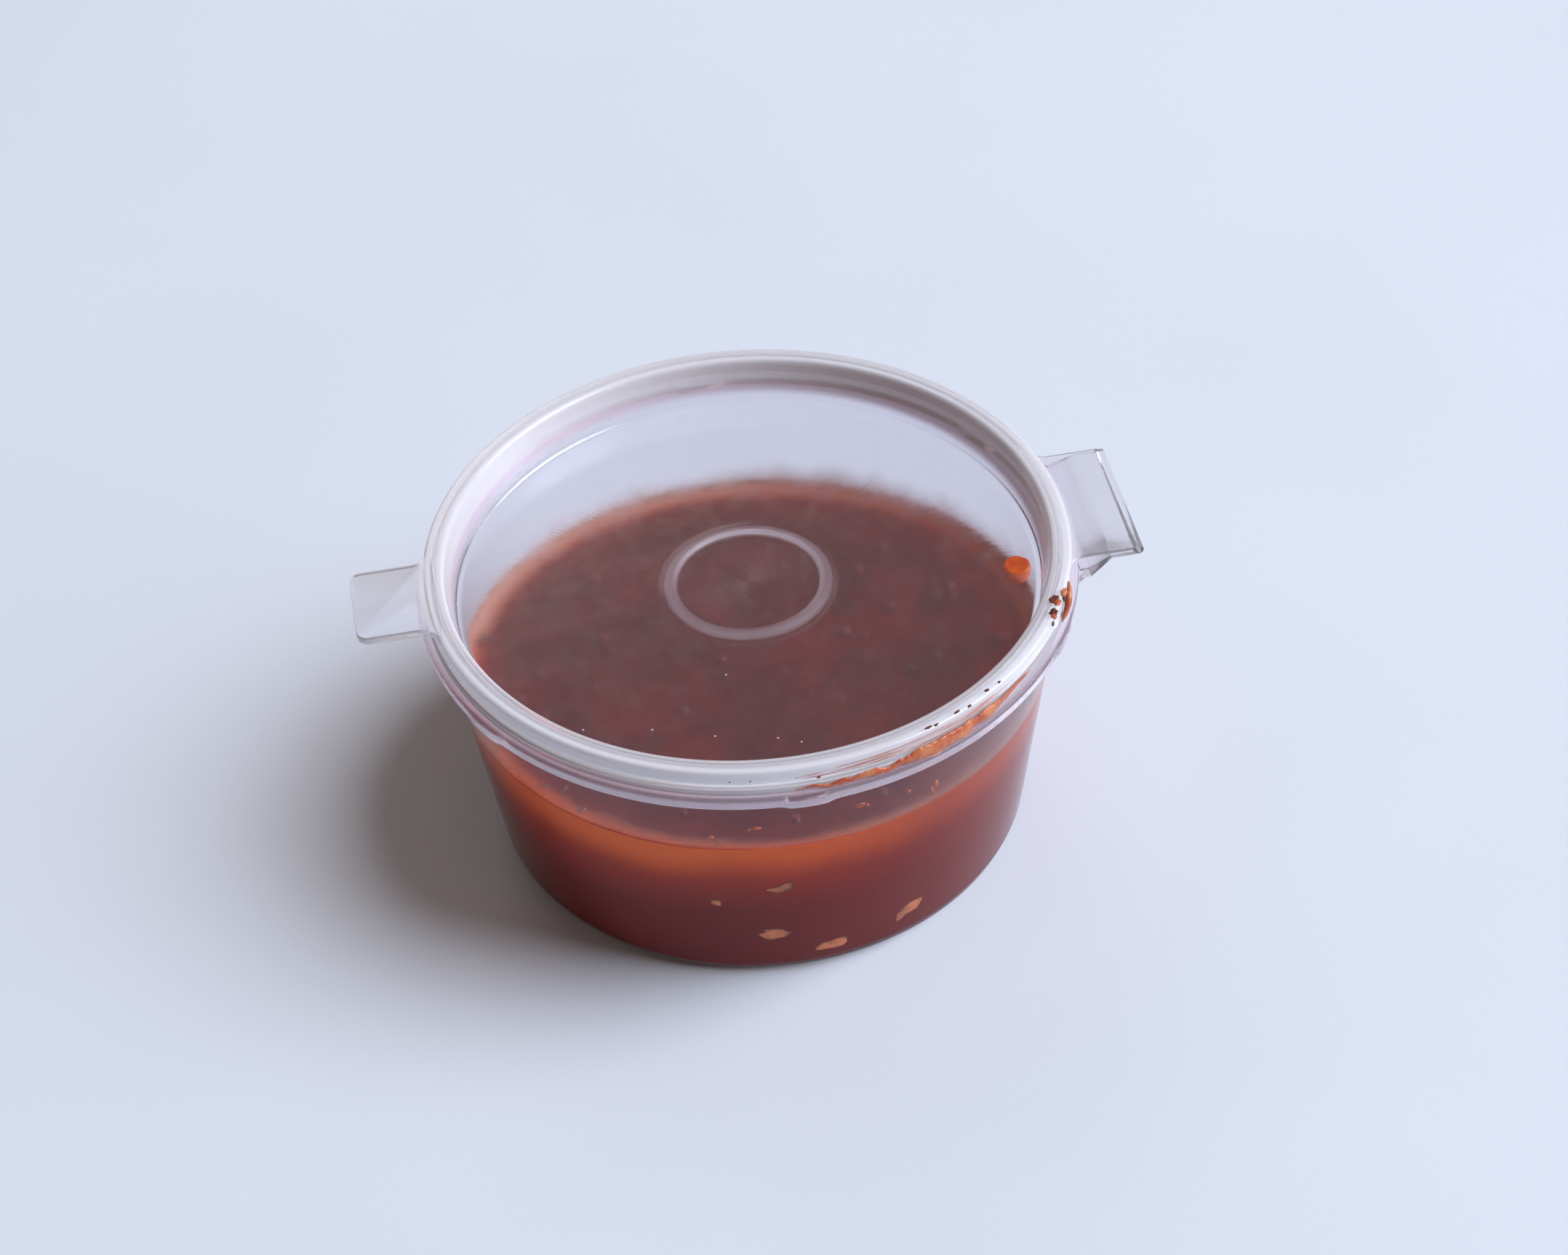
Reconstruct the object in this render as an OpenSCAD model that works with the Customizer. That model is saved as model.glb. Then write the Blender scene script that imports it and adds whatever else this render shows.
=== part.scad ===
// Round portion pot for sauce, moulded in one shot with its snap-shut lid.
// The pot's axis is Z and the table is z = 0. The folded hinge strap points to +X, the thumb tab to -X.

/* [Pot] */
// Height from the table to the top of the shut lid
pot_h = 32; // [27:0.5:40]
// Outer radius of the flange round the mouth
flange_r = 32; // [26:0.1:40]
// Outer radius of the base, measured where the wall's slope meets the table
base_r = 26.6; // [20:0.1:28]
// Thickness of the side wall
wall_t = 0.5; // [0.4:0.05:0.7]
// Thickness of the floor
floor_t = 0.8; // [0.5:0.1:1.5]
// Radius of the rounded edge round the base
base_round = 1.8; // [1:0.1:3]
// How far the flange stands out from the wall
flange_reach = 1.6; // [1:0.1:2.4]
// Height of the flange's outer band
flange_h = 1.2; // [0.8:0.1:2]
// Depth of the flange's top face below the top of the lid
flange_drop = 2.8; // [2.6:0.1:3.4]

/* [Lugs] */
// Number of lugs under the flange
lug_count = 6; // [2:2:10]
// Angle that one lug covers, in degrees
lug_angle = 9; // [4:1:14]
// How far a lug hangs below the flange
lug_drop = 0.4; // [0.2:0.1:0.8]
// How far a lug stands out past the flange
lug_out = 0.15; // [0.1:0.05:0.4]

/* [Lid] */
// Thickness of the lid's crown, skirt and plug wall
lid_t = 0.5; // [0.4:0.05:0.6]
// Thickness of the recessed panel
panel_t = 0.6; // [0.4:0.1:1]
// Depth of the panel's top face below the crown
panel_drop = 4.6; // [3.5:0.1:6]
// How far the plug wall leans inward on its way down to the panel
plug_lean = 0.9; // [0.3:0.1:1.5]
// Height of the skirt that hangs outside the lip
skirt_h = 1.5; // [1.2:0.1:1.8]
// Radius of the rounded edges of the crown
crown_round = 0.4; // [0.2:0.05:0.45]
// Radius of the raised ring on the panel, to the middle of its rib
ring_r = 7.6; // [4:0.1:12]
// Width of the rib at the panel
ring_w = 1.4; // [0.8:0.1:2]
// Height of the rib above the panel
ring_h = 0.45; // [0.2:0.05:0.6]

/* [Thumb tab] */
// How far the tab stands out from the lid's skirt
tab_reach = 6.8; // [4:0.1:12]
// Width of the tab
tab_w = 9.8; // [6:0.1:16]
// Thickness of the tab
tab_t = 0.8; // [0.5:0.1:1.2]
// Radius of the tab's outer corners
tab_corner = 1.2; // [0.5:0.1:2.5]
// Radius of the hollow where the tab's sides meet the skirt
tab_fillet = 1.6; // [0.5:0.1:2.5]

/* [Hinge strap] */
// How far the folded strap stands out from the flange
strap_reach = 5.5; // [4.5:0.1:12]
// Width of the strap
strap_w = 15.4; // [8:0.1:24]
// Thickness of each leaf of the strap
leaf_t = 0.4; // [0.3:0.05:0.6]
// Space between the two leaves
leaf_gap = 0.2; // [0.15:0.05:0.4]
// Radius of the hollow where the strap's sides meet the rim
strap_fillet = 1.8; // [0.5:0.1:2.5]

/* [Fits] */
// Clearance on each side of the lip inside the lid's channel
lip_gap = 0.25; // [0.2:0.05:0.35]
// Clearance between the skirt's lower edge and the bead round the foot of the lip
skirt_gap = 0.6; // [0.3:0.1:0.7]
// Clearance between the top of the lip and the crown
top_gap = 0.2; // [0.15:0.05:0.4]
// Running clearance round the fold's bead
fold_play = 0.05; // [0.03:0.01:0.1]
// Clearance between the sauce and the wall
sauce_gap = 0.1; // [0.05:0.01:0.15]

/* [Sauce] */
// Height of the sauce's surface above the table
sauce_level = 18.5; // [8:0.5:22]
// Height that the sauce creeps up the wall
creep_h = 1.3; // [0.5:0.1:2]
// Width of the curved margin where it creeps up
creep_w = 1.5; // [0.8:0.1:2.5]

/* [Hidden] */
$fn = 180;
eps = 0.01;
arc_steps = 8;

// Radius of the rounded edge round the inside of the floor.
inner_round = base_round - wall_t;

// Slope of the wall: it runs straight from the base to the underside of the flange.
flange_top = pot_h - flange_drop;
flange_bottom = flange_top - flange_h;
wall_top_r = flange_r - flange_reach;
lean = (wall_top_r - base_r) / flange_bottom;
lean_deg = atan(lean);
function wall_out(z) = base_r + lean * z;
function wall_in(z) = wall_out(z) - wall_t / cos(lean_deg);

// Lip: it stands straight up from the flange into the lid's channel.
lip_out = wall_out(flange_top);
lip_in = lip_out - wall_t;
lip_top = pot_h - lid_t - top_gap;

// Bead: it fills the corner between lip and flange, as wide as the skirt that hangs above it.
bead_out = lip_out + lip_gap + lid_t;
bead_h = flange_drop - skirt_h - skirt_gap;

// Lid: the channel's two sides keep their clearance from the lip.
plug_out = lip_in - lip_gap;
plug_in = plug_out - lid_t;
skirt_in = lip_out + lip_gap;
skirt_out = skirt_in + lid_t;
skirt_bottom = pot_h - skirt_h;
panel_top = pot_h - panel_drop;
panel_bottom = panel_top - panel_t;
panel_r = plug_in - plug_lean;
tab_end = skirt_out + tab_reach;

// Fold: its axis runs along Y, halfway between the two leaves.
bead_r = leaf_t + leaf_gap / 2;
fold_x = flange_r + strap_reach - bead_r;
leaf_bottom = skirt_bottom;
fold_z = leaf_bottom - leaf_gap / 2;

// Points of a round stretch in the (radius, height) plane, from angle a to angle b.
function arc(r, z, radius, a, b) = [
    for (i = [0 : arc_steps])
        let (t = a + (b - a) * i / arc_steps)
        [r + radius * cos(t), z + radius * sin(t)]
];

// Centre of a round edge that touches the floor line z = z0 and the sloping line through r = r0 there.
function edge_centre(r0, radius) = r0 + radius * (lean - 1 / cos(lean_deg));

// A flat plate from x = x0 to x1, w wide and t thick, with its two outer corners rounded.
module plate(x0, x1, w, t, corner) {
    translate([x0, -w / 2, 0])
        cube([x1 - corner - x0, w, t]);
    translate([x0, -w / 2 + corner, 0])
        cube([x1 - x0, w - 2 * corner, t]);
    for (side = [-1, 1])
        translate([x1 - corner, side * (w / 2 - corner), 0])
            cylinder(h = t, r = corner, $fn = 48);
}

// The hollow corners where a plate w wide meets a rim of radius r: a web on each side, less a round.
module plate_fillets(r, w, t, radius) {
    reach = r + radius;
    side_y = w / 2 + radius;
    centre_x = sqrt(reach * reach - side_y * side_y);
    for (side = [-1, 1])
        difference() {
            translate([centre_x - radius, side > 0 ? w / 2 - eps : -side_y, 0])
                cube([radius, radius + eps, t]);
            translate([centre_x, side * side_y, -1])
                cylinder(h = t + 2, r = radius, $fn = 48);
            translate([0, 0, -1])
                cylinder(h = t + 2, r = r - eps);
        }
}

// Keeps only what lies outside a round of radius r, so that a plate starts at the rim.
module outside(r) {
    difference() {
        children();
        translate([0, 0, -1])
            cylinder(h = pot_h + 2, r = r);
    }
}

// Wall, floor, flange and lip in one outline: up the outside, over the lip and down the inside.
module cup_shell() {
    rotate_extrude()
        polygon(concat(
            [[0, 0]],
            arc(edge_centre(base_r, base_round), base_round, base_round, -90, -lean_deg),
            [
                [wall_top_r, flange_bottom],
                [flange_r, flange_bottom],
                [flange_r, flange_top - flange_h / 4],
                [flange_r - flange_h / 4, flange_top],
                [bead_out, flange_top],
                [bead_out, flange_top + bead_h / 2],
                [bead_out - bead_h / 2, flange_top + bead_h],
                [lip_out, flange_top + bead_h],
                [lip_out, lip_top - wall_t / 2],
                [lip_out - wall_t / 2, lip_top],
                [lip_in, lip_top],
                [lip_in, flange_top],
                [wall_in(flange_bottom), flange_bottom]
            ],
            arc(edge_centre(wall_in(floor_t), inner_round), floor_t + inner_round,
                inner_round, -lean_deg, -90),
            [[0, floor_t]]
        ));
}

// One lug: a short arc of ring that thickens the flange's lower edge.
module lug() {
    rotate([0, 0, -lug_angle / 2])
        rotate_extrude(angle = lug_angle)
            polygon([
                [wall_top_r - wall_t / 2, flange_bottom - lug_drop],
                [flange_r, flange_bottom - lug_drop],
                [flange_r + lug_out, flange_bottom - lug_drop / 2],
                [flange_r + lug_out, flange_bottom + flange_h / 2],
                [flange_r - lug_out, flange_top - flange_h / 4],
                [wall_top_r - wall_t / 2, flange_bottom + flange_h / 2]
            ]);
}

// Lower leaf of the strap: it ramps up from the flange and ends in a hollow round the fold's bead.
module lower_leaf() {
    ramp_x = flange_r + leaf_t;
    ramp_end = ramp_x + fold_z - flange_bottom;
    leaf_top = fold_z - leaf_gap / 2;
    difference() {
        translate([0, strap_w / 2, 0])
            rotate([90, 0, 0])
                linear_extrude(height = strap_w)
                    polygon([
                        [wall_top_r, flange_bottom],
                        [ramp_x, flange_bottom],
                        [ramp_end - leaf_t, leaf_top - leaf_t],
                        [fold_x, leaf_top - leaf_t],
                        [fold_x, leaf_top],
                        [ramp_end - leaf_t, leaf_top],
                        [flange_r, flange_top],
                        [wall_top_r, flange_top]
                    ]);
        translate([fold_x, 0, fold_z])
            rotate([90, 0, 0])
                cylinder(h = strap_w + 2, r = bead_r + fold_play, center = true, $fn = 64);
        translate([0, 0, -1])
            cylinder(h = pot_h + 2, r = wall_top_r + flange_reach / 2);
    }
}

module cup() {
    color([0.86, 0.86, 0.92, 0.4]) {
        cup_shell();
        for (i = [0 : lug_count - 1])
            rotate([0, 0, (i + 0.5) * 360 / lug_count])
                lug();
        lower_leaf();
        translate([0, 0, flange_bottom])
            plate_fillets(flange_r, strap_w, flange_h * 3 / 4, strap_fillet);
    }
}

// Panel, plug wall, crown and skirt in one outline.
module lid_shell() {
    crown_under = pot_h - lid_t;
    rotate_extrude()
        polygon(concat(
            [
                [0, panel_bottom],
                [panel_r + lid_t - panel_t / 2, panel_bottom],
                [panel_r + lid_t, panel_bottom + panel_t / 2],
                [plug_out, crown_under],
                [skirt_in, crown_under],
                [skirt_in, skirt_bottom],
                [skirt_out, skirt_bottom]
            ],
            arc(skirt_out - crown_round, pot_h - crown_round, crown_round, 0, 90),
            arc(plug_in + crown_round, pot_h - crown_round, crown_round, 90, 180),
            [
                [panel_r, panel_top],
                [0, panel_top]
            ]
        ));
}

// Raised ring: a rib with a round back, cut from a thick ring whose lower part lies in the panel.
module ring() {
    half = ring_w / 2;
    rib_r = (half * half + ring_h * ring_h) / (2 * ring_h);
    span = asin(half / rib_r);
    rotate_extrude()
        polygon(concat(
            arc(ring_r, panel_top + ring_h - rib_r, rib_r, 90 - span, 90 + span),
            [
                [ring_r - half, panel_top - panel_t / 2],
                [ring_r + half, panel_top - panel_t / 2]
            ]
        ));
}

module thumb_tab() {
    outside(skirt_out - lid_t / 2)
        rotate([0, 0, 180])
            translate([0, 0, pot_h - crown_round / 2 - tab_t])
                plate(0, tab_end, tab_w, tab_t, tab_corner);
    rotate([0, 0, 180])
        translate([0, 0, pot_h - crown_round / 2 - tab_t])
            plate_fillets(skirt_out, tab_w, tab_t - crown_round / 2, tab_fillet);
}

// Upper leaf of the strap, with the fold's bead along its outer end.
module upper_leaf() {
    outside(skirt_out - lid_t / 2)
        translate([0, -strap_w / 2, leaf_bottom])
            cube([fold_x, strap_w, leaf_t]);
    translate([fold_x, 0, fold_z])
        rotate([90, 0, 0])
            cylinder(h = strap_w, r = bead_r, center = true, $fn = 64);
    translate([0, 0, leaf_bottom])
        plate_fillets(skirt_out, strap_w, leaf_t, strap_fillet);
}

module lid() {
    color([0.88, 0.88, 0.94, 0.4]) {
        lid_shell();
        ring();
        thumb_tab();
        upper_leaf();
    }
}

// Sauce up to its surface, which curves up where it creeps along the wall.
module sauce() {
    creep_top = sauce_level + creep_h;
    margin_r = wall_in(creep_top) - sauce_gap;
    color([0.42, 0.09, 0.07])
        rotate_extrude()
            polygon(concat(
                [[0, floor_t]],
                arc(edge_centre(wall_in(floor_t) - sauce_gap, inner_round), floor_t + inner_round,
                    inner_round, -90, -lean_deg),
                [
                    for (i = [0 : arc_steps])
                        let (t = 90 * i / arc_steps)
                        [margin_r - creep_w * (1 - cos(t)), creep_top - creep_h * sin(t)]
                ],
                [[0, sauce_level]]
            ));
}

cup();
lid();
sauce();
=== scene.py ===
"""Lidded sauce pot: the looks of the pot, its lid and the chilli sauce in it."""

import math

import bmesh
import bpy
from bpy.props import FloatProperty, FloatVectorProperty, IntProperty, PointerProperty
from mathutils import Matrix, Vector, noise


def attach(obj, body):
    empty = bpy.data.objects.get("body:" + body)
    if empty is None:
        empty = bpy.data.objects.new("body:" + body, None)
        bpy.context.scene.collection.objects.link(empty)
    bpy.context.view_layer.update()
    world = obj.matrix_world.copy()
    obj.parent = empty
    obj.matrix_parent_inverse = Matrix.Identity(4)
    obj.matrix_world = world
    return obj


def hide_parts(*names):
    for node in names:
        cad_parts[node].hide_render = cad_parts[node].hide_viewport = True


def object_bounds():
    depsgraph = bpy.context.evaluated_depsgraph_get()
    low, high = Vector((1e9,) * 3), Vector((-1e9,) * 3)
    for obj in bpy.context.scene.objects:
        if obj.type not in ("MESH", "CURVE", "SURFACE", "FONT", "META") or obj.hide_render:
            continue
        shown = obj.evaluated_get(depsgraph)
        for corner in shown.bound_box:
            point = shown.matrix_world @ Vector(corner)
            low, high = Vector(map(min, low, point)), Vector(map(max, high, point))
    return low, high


bl_info = {
    "name": "Lidded sauce pot",
    "version": (1, 0, 0),
    "blender": (4, 5, 0),
    "location": "3D View > Sidebar > Sauce Pot",
    "description": "Builds a lidded sauce pot of chilli sauce on its packed frame",
    "category": "Object",
}

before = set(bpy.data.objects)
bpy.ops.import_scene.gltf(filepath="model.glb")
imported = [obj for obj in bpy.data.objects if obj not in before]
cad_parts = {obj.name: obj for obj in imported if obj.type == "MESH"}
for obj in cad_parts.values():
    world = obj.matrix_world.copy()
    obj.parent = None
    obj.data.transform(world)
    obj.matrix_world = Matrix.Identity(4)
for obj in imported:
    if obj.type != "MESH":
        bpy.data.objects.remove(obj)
CAD_BOX = [[float(x) for x in corner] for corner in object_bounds()]

MM = 0.001
TURN_STEPS = 240  # faces round the pot
CORNER_STEPS = 4  # faces across a rounded corner of an outline
PLATE_STEPS = 10  # faces across a rounded corner of a plate
SUPPORT = 0.12  # from a rounded corner to the loop that keeps the flat beside it flat
CRISP_ANGLE = 40  # degrees from which an edge is shaded sharp
TINY = 1e-6  # below this two values count as equal

# Heights, radii and widths in mm, as the solids have them.
POT_TOP = CAD_BOX[1][2] / MM
BASE_R = 26.6
WALL_TOP_R = 30.4
FLANGE_R = 32.0
FLANGE_BOTTOM = 28.0
FLANGE_TOP = 29.2
FLOOR_T = 0.8
WALL_LEAN = (WALL_TOP_R - BASE_R) / FLANGE_BOTTOM
WALL_IN_R = BASE_R - 0.505
BEAD_TOP = FLANGE_TOP + 0.7
LIP_OUT_R = 30.56
LIP_IN_R = 30.06
LIP_TOP = 31.3
SKIRT_R = 31.31
SKIRT_IN_R = 30.81
SKIRT_BOTTOM = 30.5
CROWN_BOTTOM = 31.5
PLUG_OUT_R = 29.81
PLUG_IN_R = 29.31
PANEL_TOP = 27.4
PANEL_BOTTOM = 26.8
PANEL_R = 28.41
HINGE_X = 37.0
HINGE_Z = 30.4
FOLD_R = 0.5
STRAP_W = 15.4
TAB_W = 9.8
TAB_END = 38.11

BITE = 0.15  # how far what fills the pot reaches into its wall
SLUMP = 3.2  # how much lower the sauce stands at the back than at the front
SLUMP_AZ = 84  # azimuth where it stands lowest

# Azimuth, height of the film's upper edge, its strength and how creamy it is there.
FILM_EDGE = [
    (-180, 21.4, 0.25, 1.0),
    (-165, 22.4, 0.34, 0.6),
    (-150, 24.2, 0.70, 0.0),
    (-130, 23.6, 1.00, 0.0),
    (-110, 22.8, 1.00, 0.0),
    (-95, 22.4, 0.75, 0.0),
    (-80, 22.5, 0.50, 0.0),
    (-62, 22.8, 0.24, 0.0),
    (-40, 23.4, 0.22, 0.0),
    (-5, 23.0, 0.34, 0.1),
    (40, 20.2, 0.46, 0.4),
    (90, 18.8, 0.46, 0.8),
    (135, 19.4, 0.32, 1.0),
    (180, 21.4, 0.25, 1.0),
]


def wall_in(z):
    """Radius of the wall's inside at a height, in mm."""
    return WALL_IN_R + WALL_LEAN * z


def dip_at(az):
    """How much the sauce has slumped at the wall, in mm, at an azimuth in degrees."""
    return SLUMP * ((1 + math.cos(math.radians(az - SLUMP_AZ))) / 2) ** 2


# --- settings

LENGTH = {"unit": "LENGTH", "subtype": "DISTANCE"}
SHARE = {"min": 0, "max": 1, "subtype": "FACTOR"}
COLOUR = {"min": 0, "max": 1, "subtype": "COLOR"}


class PotSettings(bpy.types.PropertyGroup):
    """Sizes and colours of the pot and lid."""

    crown_clear: FloatProperty(
        name="Crown clearance",
        description="How far the crown lies below the pot's full height, room for dried sauce",
        default=0.1 * MM,
        **LENGTH,
    )
    ring_r: FloatProperty(
        name="Ring radius",
        description="Radius of the raised ring on the lid's panel",
        default=7.6 * MM,
        **LENGTH,
    )
    plastic: FloatVectorProperty(
        name="Plastic",
        description="Tint of the clear polypropylene",
        default=(0.96, 0.95, 0.985),
        **COLOUR,
    )
    wall_haze: FloatProperty(
        name="Wall haze",
        description="Share of light that the cup's thin wall scatters",
        default=0.02,
        **SHARE,
    )
    panel_haze: FloatProperty(
        name="Panel haze",
        description="Share of light that the lid's thin panel scatters",
        default=0.025,
        **SHARE,
    )
    skirt_haze: FloatProperty(
        name="Skirt haze",
        description="Share of light that the upright outside of the rim scatters",
        default=0.42,
        **SHARE,
    )
    rim_haze: FloatProperty(
        name="Rim haze",
        description="Share of light that the thicker rim scatters",
        default=0.54,
        **SHARE,
    )


class SauceSettings(bpy.types.PropertyGroup):
    """Sizes and colours of the sauce."""

    level: FloatProperty(
        name="Level",
        description="Height of the sauce's surface above the table",
        default=18.5 * MM,
        **LENGTH,
    )
    creep: FloatProperty(
        name="Creep",
        description="How far the sauce climbs the wall round its edge",
        default=1.3 * MM,
        **LENGTH,
    )
    deep: FloatVectorProperty(
        name="Deep colour",
        description="Colour of the sauce where it is thick",
        default=(0.105, 0.0075, 0.009),
        **COLOUR,
    )
    bright: FloatVectorProperty(
        name="Bright colour",
        description="Colour of the redder clouds in the sauce",
        default=(0.17, 0.010, 0.010),
        **COLOUR,
    )
    oil: FloatVectorProperty(
        name="Oil colour",
        description="Colour of the thin orange margin",
        default=(0.92, 0.15, 0.016),
        **COLOUR,
    )
    garlic: FloatVectorProperty(
        name="Garlic colour",
        description="Colour of the pale garlic and seeds",
        default=(0.80, 0.24, 0.08),
        **COLOUR,
    )


class StageSettings(bpy.types.PropertyGroup):
    """Camera, lights and floor."""

    azimuth: FloatProperty(
        name="Azimuth",
        description="Direction of the camera from the pot, from the X axis",
        default=math.radians(-97.2993),
        subtype="ANGLE",
    )
    elevation: FloatProperty(
        name="Elevation",
        description="Height of the camera above the horizon",
        default=math.radians(44.7548),
        subtype="ANGLE",
    )
    distance: FloatProperty(
        name="Distance",
        description="From the middle of the pot's underside to the camera",
        default=338.16 * MM,
        **LENGTH,
    )
    lens: FloatProperty(
        name="Lens",
        description="Focal length in millimetres on a 36 mm wide sensor",
        default=75.32,
    )
    floor: FloatVectorProperty(
        name="Floor",
        description="Colour of the floor",
        default=(0.845, 0.895, 0.98),
        **COLOUR,
    )
    sky: FloatVectorProperty(
        name="Sky",
        description="Colour of the soft light all round",
        default=(1.0, 0.80, 0.70),
        **COLOUR,
    )
    seed: IntProperty(
        name="Seed",
        description="Picks the places of the small specks",
        default=7,
    )


# --- mesh tools


def azimuth(vert):
    """Degrees round the pot's axis, from the hinge side."""
    return math.degrees(math.atan2(vert.co.y, vert.co.x))


def radius(vert):
    """Distance from the pot's axis in mm."""
    return math.hypot(vert.co.x, vert.co.y) / MM


def heading(az, el):
    """Unit vector at an azimuth and elevation in radians."""
    return Vector((math.cos(az) * math.cos(el), math.sin(az) * math.cos(el), math.sin(el)))


def chain(bm, points, cuts, steps, closed):
    """Edges through points in mm, each corner rounded over its cut."""
    verts = [bm.verts.new([c * MM for c in point]) for point in points]
    for pair in zip(verts, verts[1:] + verts[:1] if closed else verts[1:]):
        bm.edges.new(pair)
    for vert, cut in zip(verts, cuts):
        if cut:
            bmesh.ops.bevel(
                bm,
                geom=[vert],
                offset=cut * MM,
                offset_type="OFFSET",
                segments=steps,
                profile=0.5,
                affect="VERTICES",
                material=-1,
            )


def outline(bm, corners, closed=False):
    """Half section through (radius, height, cut) corners, ready to be turned."""
    points = [(r, 0, z) for r, z, _ in corners]
    chain(bm, points, [cut for _, _, cut in corners], CORNER_STEPS, closed)
    for edge in bm.edges[:]:
        length = edge.calc_length()
        if length > 4 * SUPPORT * MM:
            first, last = edge.verts
            _, near = bmesh.utils.edge_split(edge, first, SUPPORT * MM / length)
            rest = next(e for e in near.link_edges if last in e.verts)
            bmesh.utils.edge_split(rest, last, SUPPORT * MM / rest.calc_length())


def turn(bm):
    """Spins the chain of edges in bm round the Z axis into a closed shell."""
    bmesh.ops.spin(
        bm,
        geom=bm.verts[:] + bm.edges[:],
        cent=(0, 0, 0),
        axis=(0, 0, 1),
        dvec=(0, 0, 0),
        angle=math.tau,
        space=Matrix(),
        steps=TURN_STEPS,
        use_merge=True,
        use_normal_flip=False,
        use_duplicate=False,
    )
    heal(bm)


def heal(bm):
    """Merges doubled points and turns all faces outward."""
    bmesh.ops.remove_doubles(bm, verts=bm.verts, dist=TINY)
    bmesh.ops.recalc_face_normals(bm, faces=bm.faces)


def piece(name, bm, material=None, body=None):
    """Turns bm into an object at the origin; a body makes it a finished piece."""
    mesh = bpy.data.meshes.new(name)
    bm.to_mesh(mesh)
    bm.free()
    obj = bpy.data.objects.new(name, mesh)
    bpy.context.scene.collection.objects.link(obj)
    mesh.shade_smooth()
    if material:
        mesh.materials.append(material)
    if body:
        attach(obj, body)
    return obj


def joined(base, others, name):
    """The union of base and others as one closed mesh."""
    for other in others:
        mod = base.modifiers.new("Join", "BOOLEAN")
        mod.operation = "UNION"
        mod.solver = "EXACT"
        mod.object = other
    depsgraph = bpy.context.evaluated_depsgraph_get()
    mesh = bpy.data.meshes.new_from_object(base.evaluated_get(depsgraph))
    for obj in [base, *others]:
        bpy.data.objects.remove(obj)
    bm = bmesh.new()
    bm.from_mesh(mesh)
    heal(bm)
    bpy.data.meshes.remove(mesh)
    return piece(name, bm)


def crisp(obj):
    """Smooth shading that stays sharp across steep edges."""
    with bpy.context.temp_override(
        object=obj, active_object=obj, selected_editable_objects=[obj], selected_objects=[obj]
    ):
        bpy.ops.object.shade_smooth_by_angle(angle=math.radians(CRISP_ANGLE))


def thicken(bm, faces, by):
    """Draws flat faces out into a plate."""
    grown = bmesh.ops.extrude_face_region(bm, geom=faces)["geom"]
    moved = [g for g in grown if isinstance(g, bmesh.types.BMVert)]
    bmesh.ops.translate(bm, verts=moved, vec=by)


def plan_plate(rim_r, x_end, width, z0, z1, corner, fillet, edge):
    """Flat plate that grows from a round rim, with hollow corners at its root."""
    half = width / 2
    root = math.asin(half / rim_r)
    far = root + 2.2 * fillet / rim_r
    cut = fillet / math.tan((math.pi / 2 + root) / 2)
    inner = rim_r - 0.05
    points = [
        (inner * math.cos(far), inner * math.sin(far), 0),
        (inner * math.cos(root), half, cut),
        (x_end, half, corner),
    ]
    points += [(x, -y, c) for x, y, c in reversed(points)]
    bm = bmesh.new()
    chain(bm, [(x, y, z0) for x, y, _ in points], [c for _, _, c in points], PLATE_STEPS, True)
    face = bmesh.ops.contextual_create(bm, geom=bm.edges[:])["faces"]
    thicken(bm, face, (0, 0, (z1 - z0) * MM))
    level = [e for e in bm.edges if abs(e.verts[0].co.z - e.verts[1].co.z) < TINY]
    round_edges(bm, level, edge)
    heal(bm)
    return bm


def round_edges(bm, edges, size, steps=3):
    """Rounds edges over a size in mm."""
    bmesh.ops.bevel(
        bm,
        geom=edges,
        offset=size * MM,
        offset_type="OFFSET",
        segments=steps,
        profile=0.5,
        affect="EDGES",
        material=-1,
        clamp_overlap=True,
    )


def side_plate(points, width, edge):
    """Plate drawn from the side in the XZ plane and drawn out along Y."""
    bm = bmesh.new()
    verts = [bm.verts.new((x * MM, -width / 2 * MM, z * MM)) for x, z in points]
    thicken(bm, [bm.faces.new(verts)], (0, width * MM, 0))
    round_edges(bm, bm.edges[:], edge, 2)
    heal(bm)
    return bm


def polar(az, r, z):
    """Point in metres from an azimuth in degrees and a radius and height in mm."""
    a = math.radians(az)
    return Vector((r * math.cos(a), r * math.sin(a), z)) * MM


def lump(bm, centre, size, rough, seed, tilt=0.0, detail=3):
    """Adds one uneven blob: size is along the radius, round the pot and up, in mm."""
    new = bmesh.ops.create_icosphere(bm, subdivisions=detail, radius=1)["verts"]
    for vert in new:
        vert.co *= 1 + rough * noise.noise(vert.co * 1.7 + Vector((seed, 0, 0)))
    bmesh.ops.scale(bm, verts=new, vec=Vector(size) * MM)
    matrix = (
        Matrix.Translation(centre)
        @ Matrix.Rotation(math.atan2(centre.y, centre.x), 4, "Z")
        @ Matrix.Rotation(math.radians(tilt), 4, "X")
    )
    bmesh.ops.transform(bm, verts=new, matrix=matrix)
    return new


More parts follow.
